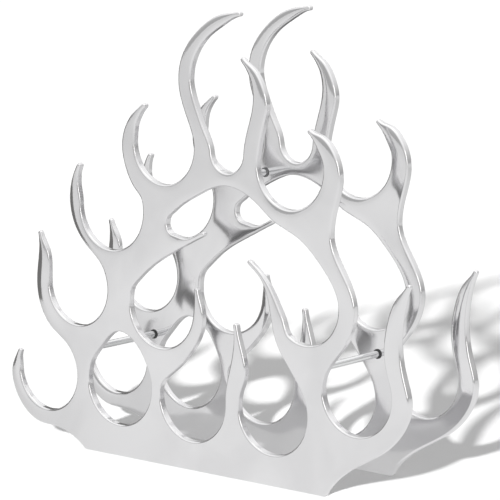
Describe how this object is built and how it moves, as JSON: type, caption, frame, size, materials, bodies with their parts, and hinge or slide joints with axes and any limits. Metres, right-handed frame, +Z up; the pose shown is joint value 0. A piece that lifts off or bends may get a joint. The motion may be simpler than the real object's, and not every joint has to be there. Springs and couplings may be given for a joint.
{
  "type": "wine rack",
  "caption": "Free-standing flame-shaped wine rack of two matching polished cast aluminium panels, joined by tie rods, that hold bottles lying from front to back.",
  "frame": {"origin": "on the floor, half way along the rack's overall length and half way between the two panels", "axes": "+X along the panels towards the low right horn, +Y from the front panel to the rear panel, +Z up"},
  "size_m": [0.5763, 0.13, 0.5122],
  "materials": {
    "polished_casting": "sand-cast aluminium, hand ground and buffed to a slightly wavy mirror on every side",
    "polished_bar": "drawn round aluminium bar, buffed",
    "fastener_steel": "plain stainless steel, turned and stamped",
    "black_rubber": "matte black rubber"
  },
  "bodies": {
    "root": {"front_panel": "polished_casting", "rear_panel": "polished_casting", "tie_rod_left": "polished_bar", "front_stud_left": "fastener_steel", "front_cushion_left": "black_rubber", "rear_cushion_left": "black_rubber", "rear_washer_left": "fastener_steel", "rear_screw_left": "fastener_steel", "tie_rod_right": "polished_bar", "front_stud_right": "fastener_steel", "front_cushion_right": "black_rubber", "rear_cushion_right": "black_rubber", "rear_washer_right": "fastener_steel", "rear_screw_right": "fastener_steel", "tie_rod_top": "polished_bar", "front_stud_top": "fastener_steel", "front_cushion_top": "black_rubber", "rear_cushion_top": "black_rubber", "rear_washer_top": "fastener_steel", "rear_screw_top": "fastener_steel"}
  },
  "joints": []
}
